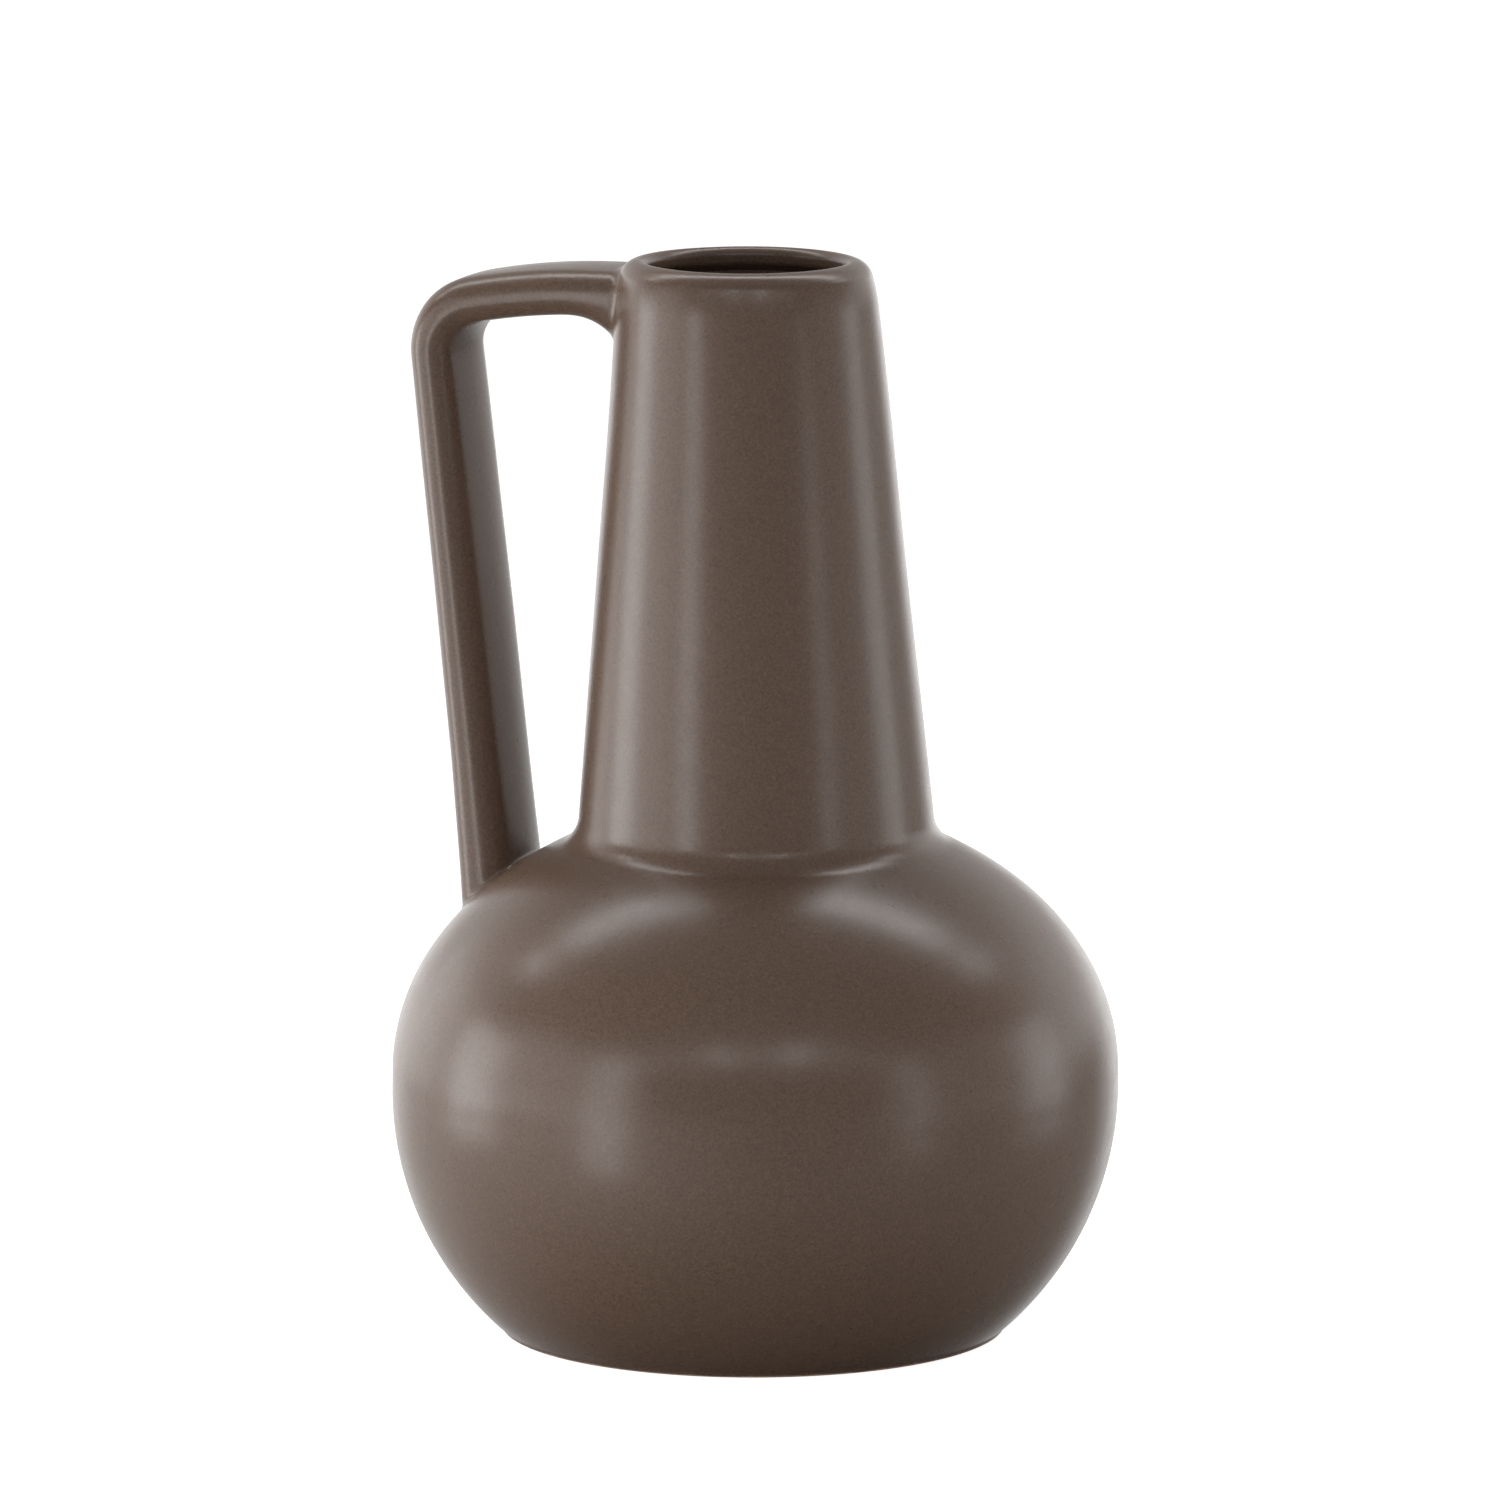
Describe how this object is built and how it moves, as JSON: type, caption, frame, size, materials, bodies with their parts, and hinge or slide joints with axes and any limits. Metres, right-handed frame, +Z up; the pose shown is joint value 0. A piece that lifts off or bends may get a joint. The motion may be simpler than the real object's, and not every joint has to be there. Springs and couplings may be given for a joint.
{
  "type": "one-handled vase",
  "caption": "Globular ceramic vase with a tall tapered neck, a rounded lip and a strap handle from lip to shoulder, for holding stems or liquid.",
  "frame": {"origin": "on the surface that the foot stands on, at the middle of the foot ring", "axes": "+Z up along the vessel's axis, handle towards -X, strap width along Y"},
  "size_m": [0.2026, 0.2026, 0.3],
  "materials": {
    "glaze": "matte taupe glaze with a satin sheen, fine speckle and orange-peel grain",
    "bare_clay": "bare fired clay, turned",
    "slip": "fired luting slip"
  },
  "bodies": {
    "root": {"foot_ring": "bare_clay", "foot_slip": "slip", "bowl": "glaze", "belly_slip": "slip", "shoulder": "glaze", "neck_slip": "slip", "neck": "glaze", "lip_slip": "slip", "lip": "glaze", "handle": "glaze", "handle_top_slip": "glaze", "handle_bottom_slip": "glaze"}
  },
  "joints": []
}
